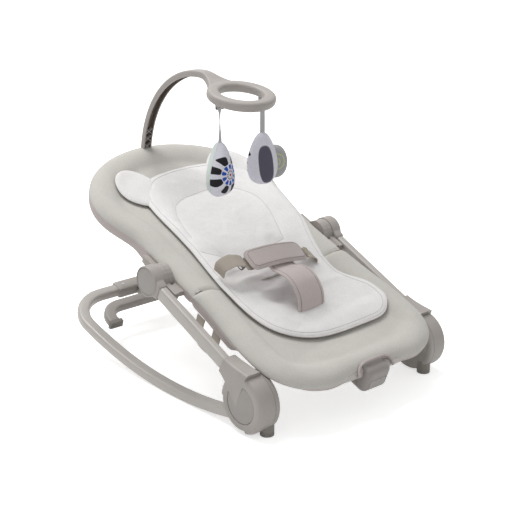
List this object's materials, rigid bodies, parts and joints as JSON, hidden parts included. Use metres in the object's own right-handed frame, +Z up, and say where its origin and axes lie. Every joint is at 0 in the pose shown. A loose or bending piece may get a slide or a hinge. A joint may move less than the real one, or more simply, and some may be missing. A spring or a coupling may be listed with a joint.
{
  "type": "baby rocker",
  "caption": "Folding baby rocker on curved tube rails with round hubs, a padded reclining seat, a waist harness, a kickstand and a plug-in toy bar.",
  "frame": {"origin": "on the floor, in the middle of the rocker's width and length", "axes": "+Z up, +Y towards the head end, +X to the right as seen from the foot end"},
  "size_m": [0.504, 0.7474, 0.5865],
  "materials": {
    "painted_tube": "satin grey-taupe paint",
    "frame_plastic": "fine-grained moulded plastic",
    "dark_plastic": "fine-grained moulded plastic",
    "steel": "plain pins and rivets",
    "rubber": "matt rubber",
    "grey_cloth": "padded grey melange cloth with a taupe skirt",
    "white_cloth": "quilted off-white cloth",
    "taupe_cloth": "padded taupe cloth with piping",
    "webbing": "woven tape",
    "toy_cloth": "stuffed toy cloth",
    "toy_grey_cloth": "stuffed toy cloth"
  },
  "bodies": {
    "base": {"rocker_rail_left": "painted_tube", "rail_end_left": "dark_plastic", "bridge_rivet_left": "steel", "rocker_rail_right": "painted_tube", "rail_end_right": "dark_plastic", "bridge_rivet_right": "steel", "rear_bridge": "frame_plastic"},
    "kickstand": {"kickstand_bar": "frame_plastic", "kickstand_pad_left": "rubber", "kickstand_pad_right": "rubber", "kickstand_pin": "steel"},
    "legs_and_seat": {"hub_shell_outer_left": "frame_plastic", "hub_shell_inner_left": "frame_plastic", "fold_pin_left": "steel", "front_foot_left": "rubber", "leg_tube_left": "painted_tube", "leg_drum_left": "frame_plastic", "recline_pin_left": "steel", "seat_arm_left": "dark_plastic", "waist_belt_left": "webbing", "belt_slider_left": "dark_plastic", "carry_strap_left": "webbing", "hub_shell_outer_right": "frame_plastic", "hub_shell_inner_right": "frame_plastic", "fold_pin_right": "steel", "front_foot_right": "rubber", "leg_tube_right": "painted_tube", "leg_drum_right": "frame_plastic", "recline_pin_right": "steel", "seat_arm_right": "dark_plastic", "waist_belt_right": "webbing", "belt_slider_right": "dark_plastic", "carry_strap_right": "webbing", "seat_tube": "painted_tube", "seat_cover": "grey_cloth", "seat_insert": "white_cloth", "unit_front_shell": "dark_plastic", "unit_rear_shell": "dark_plastic", "crotch_strap": "taupe_cloth", "waist_pad": "taupe_cloth"},
    "fold_button_left": {"fold_button_left": "dark_plastic"},
    "fold_button_right": {"fold_button_right": "dark_plastic"},
    "recline_button_left": {"recline_button_left": "dark_plastic"},
    "recline_button_right": {"recline_button_right": "dark_plastic"},
    "unit_button": {"unit_button": "frame_plastic"},
    "backrest": {"back_arm_left": "dark_plastic", "back_tube_left": "painted_tube", "back_arm_right": "dark_plastic", "back_tube_right": "painted_tube", "back_cover": "grey_cloth", "back_insert": "white_cloth", "toy_bar_socket": "dark_plastic"},
    "toy_bar": {"toy_bar": "frame_plastic"},
    "toy_left": {"toy_strap_left": "webbing", "toy_left_pillow": "toy_cloth"},
    "toy_right": {"toy_strap_right": "webbing", "toy_right_pillow": "toy_cloth", "toy_right_lobe": "toy_grey_cloth"}
  },
  "joints": [
    {"name": "fold", "type": "hinge", "parent": "base", "child": "legs_and_seat", "pos_m": [0, -0.2617, 0.06], "axis": [1, 0, 0], "range_deg": [-22, 0]},
    {"name": "recline", "type": "hinge", "parent": "legs_and_seat", "child": "backrest", "pos_m": [0, 0.0193, 0.223], "axis": [1, 0, 0], "range_deg": [0, 30]},
    {"name": "kickstand_swing", "type": "hinge", "parent": "base", "child": "kickstand", "pos_m": [0, 0.30485, 0.07139], "axis": [1, 0, 0], "range_deg": [0, 73]},
    {"name": "toy_bar_pull", "type": "slide", "parent": "backrest", "child": "toy_bar", "axis": [0, -0.0936, 0.9956], "range_m": [0, 0.04]},
    {"name": "fold_button_press_left", "type": "slide", "parent": "legs_and_seat", "child": "fold_button_left", "axis": [1, 0, 0], "range_m": [0, 0.0035], "stiffness_N_per_m": 700, "springref_m": -0.002},
    {"name": "recline_button_press_left", "type": "slide", "parent": "legs_and_seat", "child": "recline_button_left", "axis": [1, 0, 0], "range_m": [0, 0.003], "stiffness_N_per_m": 700, "springref_m": -0.002},
    {"name": "fold_button_press_right", "type": "slide", "parent": "legs_and_seat", "child": "fold_button_right", "axis": [-1, 0, 0], "range_m": [0, 0.0035], "stiffness_N_per_m": 700, "springref_m": -0.002},
    {"name": "recline_button_press_right", "type": "slide", "parent": "legs_and_seat", "child": "recline_button_right", "axis": [-1, 0, 0], "range_m": [0, 0.003], "stiffness_N_per_m": 700, "springref_m": -0.002},
    {"name": "unit_button_press", "type": "slide", "parent": "legs_and_seat", "child": "unit_button", "axis": [0, 0.9336, 0.3584], "range_m": [0, 0.0025], "stiffness_N_per_m": 700, "springref_m": -0.002},
    {"name": "toy_swing_left", "type": "hinge", "parent": "toy_bar", "child": "toy_left", "pos_m": [-0.056, 0.0253, 0.5375], "axis": [1, 0, 0], "range_deg": [-45, 45]},
    {"name": "toy_swing_right", "type": "hinge", "parent": "toy_bar", "child": "toy_right", "pos_m": [0.056, 0.0253, 0.5375], "axis": [1, 0, 0], "range_deg": [-45, 45]}
  ]
}
